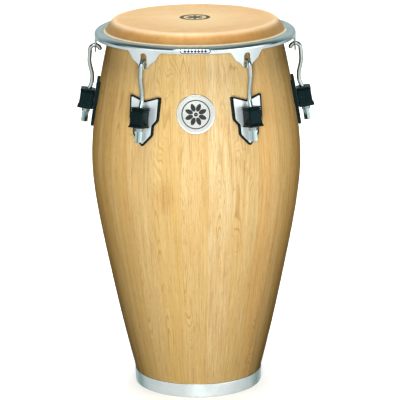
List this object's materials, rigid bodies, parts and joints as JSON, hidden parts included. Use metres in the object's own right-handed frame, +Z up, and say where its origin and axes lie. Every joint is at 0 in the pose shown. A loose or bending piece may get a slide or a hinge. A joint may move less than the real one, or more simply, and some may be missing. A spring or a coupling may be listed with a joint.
{
  "type": "conga drum",
  "caption": "Barrel-shaped stave hand drum with a rawhide head, a flared chrome rim, hook-and-nut tuning lugs on rubber-backed side plates, a round badge and a steel bottom ring.",
  "frame": {"origin": "centre of the bounding box's underside, on the drum's axis in the plane it stands on", "axes": "+Z up along the drum's axis to the head; -Y is the front, where the badge is; the lugs are at 30, 90 and 150 degrees on both sides of the front"},
  "size_m": [0.45, 0.4014, 0.7112],
  "materials": {
    "stave_wood": "straight-grained pale hardwood staves under clear gloss lacquer",
    "rawhide": "dry natural rawhide, slightly mottled, semi-matt",
    "chrome_steel": "bright chrome plate on steel",
    "zinc_steel": "zinc-plated steel",
    "black_rubber": "moulded black rubber, satin",
    "badge_aluminium": null
  },
  "bodies": {
    "shell": {"shell": "stave_wood", "bottom_ring": "chrome_steel", "head_skin": "rawhide", "badge": "badge_aluminium", "side_plate_1": "chrome_steel", "plate_gasket_1": "black_rubber", "lug_sleeve_1": "black_rubber", "nut_washer_1": "zinc_steel", "plate_screw_upper_1": "zinc_steel", "plate_screw_lower_1": "zinc_steel", "side_plate_2": "chrome_steel", "plate_gasket_2": "black_rubber", "lug_sleeve_2": "black_rubber", "nut_washer_2": "zinc_steel", "plate_screw_upper_2": "zinc_steel", "plate_screw_lower_2": "zinc_steel", "side_plate_3": "chrome_steel", "plate_gasket_3": "black_rubber", "lug_sleeve_3": "black_rubber", "nut_washer_3": "zinc_steel", "plate_screw_upper_3": "zinc_steel", "plate_screw_lower_3": "zinc_steel", "side_plate_4": "chrome_steel", "plate_gasket_4": "black_rubber", "lug_sleeve_4": "black_rubber", "nut_washer_4": "zinc_steel", "plate_screw_upper_4": "zinc_steel", "plate_screw_lower_4": "zinc_steel", "side_plate_5": "chrome_steel", "plate_gasket_5": "black_rubber", "lug_sleeve_5": "black_rubber", "nut_washer_5": "zinc_steel", "plate_screw_upper_5": "zinc_steel", "plate_screw_lower_5": "zinc_steel", "side_plate_6": "chrome_steel", "plate_gasket_6": "black_rubber", "lug_sleeve_6": "black_rubber", "nut_washer_6": "zinc_steel", "plate_screw_upper_6": "zinc_steel", "plate_screw_lower_6": "zinc_steel"},
    "rim": {"rim": "chrome_steel", "flesh_hoop": "rawhide"},
    "tuning_hook_1": {"tuning_hook_1": "chrome_steel"},
    "tuning_nut_1": {"tuning_nut_1": "chrome_steel"},
    "tuning_hook_2": {"tuning_hook_2": "chrome_steel"},
    "tuning_nut_2": {"tuning_nut_2": "chrome_steel"},
    "tuning_hook_3": {"tuning_hook_3": "chrome_steel"},
    "tuning_nut_3": {"tuning_nut_3": "chrome_steel"},
    "tuning_hook_4": {"tuning_hook_4": "chrome_steel"},
    "tuning_nut_4": {"tuning_nut_4": "chrome_steel"},
    "tuning_hook_5": {"tuning_hook_5": "chrome_steel"},
    "tuning_nut_5": {"tuning_nut_5": "chrome_steel"},
    "tuning_hook_6": {"tuning_hook_6": "chrome_steel"},
    "tuning_nut_6": {"tuning_nut_6": "chrome_steel"}
  },
  "joints": [
    {"name": "rim_travel", "type": "slide", "parent": "shell", "child": "rim", "axis": [0, 0, 1], "range_m": [0, 0.00741]},
    {"name": "nut_1_turn", "type": "hinge", "parent": "shell", "child": "tuning_nut_1", "pos_m": [0.10534, -0.18245, 0.52648], "axis": [-0.0782, 0.1355, 0.9877], "range_deg": [0, 2160]},
    {"name": "hook_1_travel", "type": "slide", "parent": "shell", "child": "tuning_hook_1", "axis": [-0.0782, 0.1355, 0.9877], "range_m": [0, 0.0075]},
    {"name": "nut_2_turn", "type": "hinge", "parent": "shell", "child": "tuning_nut_2", "pos_m": [0.21067, 0, 0.52648], "axis": [-0.1564, 0, 0.9877], "range_deg": [0, 2160]},
    {"name": "hook_2_travel", "type": "slide", "parent": "shell", "child": "tuning_hook_2", "axis": [-0.1564, 0, 0.9877], "range_m": [0, 0.0075]},
    {"name": "nut_3_turn", "type": "hinge", "parent": "shell", "child": "tuning_nut_3", "pos_m": [0.10534, 0.18245, 0.52648], "axis": [-0.0782, -0.1355, 0.9877], "range_deg": [0, 2160]},
    {"name": "hook_3_travel", "type": "slide", "parent": "shell", "child": "tuning_hook_3", "axis": [-0.0782, -0.1355, 0.9877], "range_m": [0, 0.0075]},
    {"name": "nut_4_turn", "type": "hinge", "parent": "shell", "child": "tuning_nut_4", "pos_m": [-0.10534, 0.18245, 0.52648], "axis": [0.0782, -0.1355, 0.9877], "range_deg": [0, 2160]},
    {"name": "hook_4_travel", "type": "slide", "parent": "shell", "child": "tuning_hook_4", "axis": [0.0782, -0.1355, 0.9877], "range_m": [0, 0.0075]},
    {"name": "nut_5_turn", "type": "hinge", "parent": "shell", "child": "tuning_nut_5", "pos_m": [-0.21067, 0, 0.52648], "axis": [0.1564, 0, 0.9877], "range_deg": [0, 2160]},
    {"name": "hook_5_travel", "type": "slide", "parent": "shell", "child": "tuning_hook_5", "axis": [0.1564, 0, 0.9877], "range_m": [0, 0.0075]},
    {"name": "nut_6_turn", "type": "hinge", "parent": "shell", "child": "tuning_nut_6", "pos_m": [-0.10534, -0.18245, 0.52648], "axis": [0.0782, 0.1355, 0.9877], "range_deg": [0, 2160]},
    {"name": "hook_6_travel", "type": "slide", "parent": "shell", "child": "tuning_hook_6", "axis": [0.0782, 0.1355, 0.9877], "range_m": [0, 0.0075]}
  ],
  "couplings": [
    {"joint": "hook_1_travel", "follows": "rim_travel", "ratio": 1.0125},
    {"joint": "nut_1_turn", "follows": "rim_travel", "rad_per_m": 5089.2},
    {"joint": "hook_2_travel", "follows": "rim_travel", "ratio": 1.0125},
    {"joint": "nut_2_turn", "follows": "rim_travel", "rad_per_m": 5089.2},
    {"joint": "hook_3_travel", "follows": "rim_travel", "ratio": 1.0125},
    {"joint": "nut_3_turn", "follows": "rim_travel", "rad_per_m": 5089.2},
    {"joint": "hook_4_travel", "follows": "rim_travel", "ratio": 1.0125},
    {"joint": "nut_4_turn", "follows": "rim_travel", "rad_per_m": 5089.2},
    {"joint": "hook_5_travel", "follows": "rim_travel", "ratio": 1.0125},
    {"joint": "nut_5_turn", "follows": "rim_travel", "rad_per_m": 5089.2},
    {"joint": "hook_6_travel", "follows": "rim_travel", "ratio": 1.0125},
    {"joint": "nut_6_turn", "follows": "rim_travel", "rad_per_m": 5089.2}
  ]
}
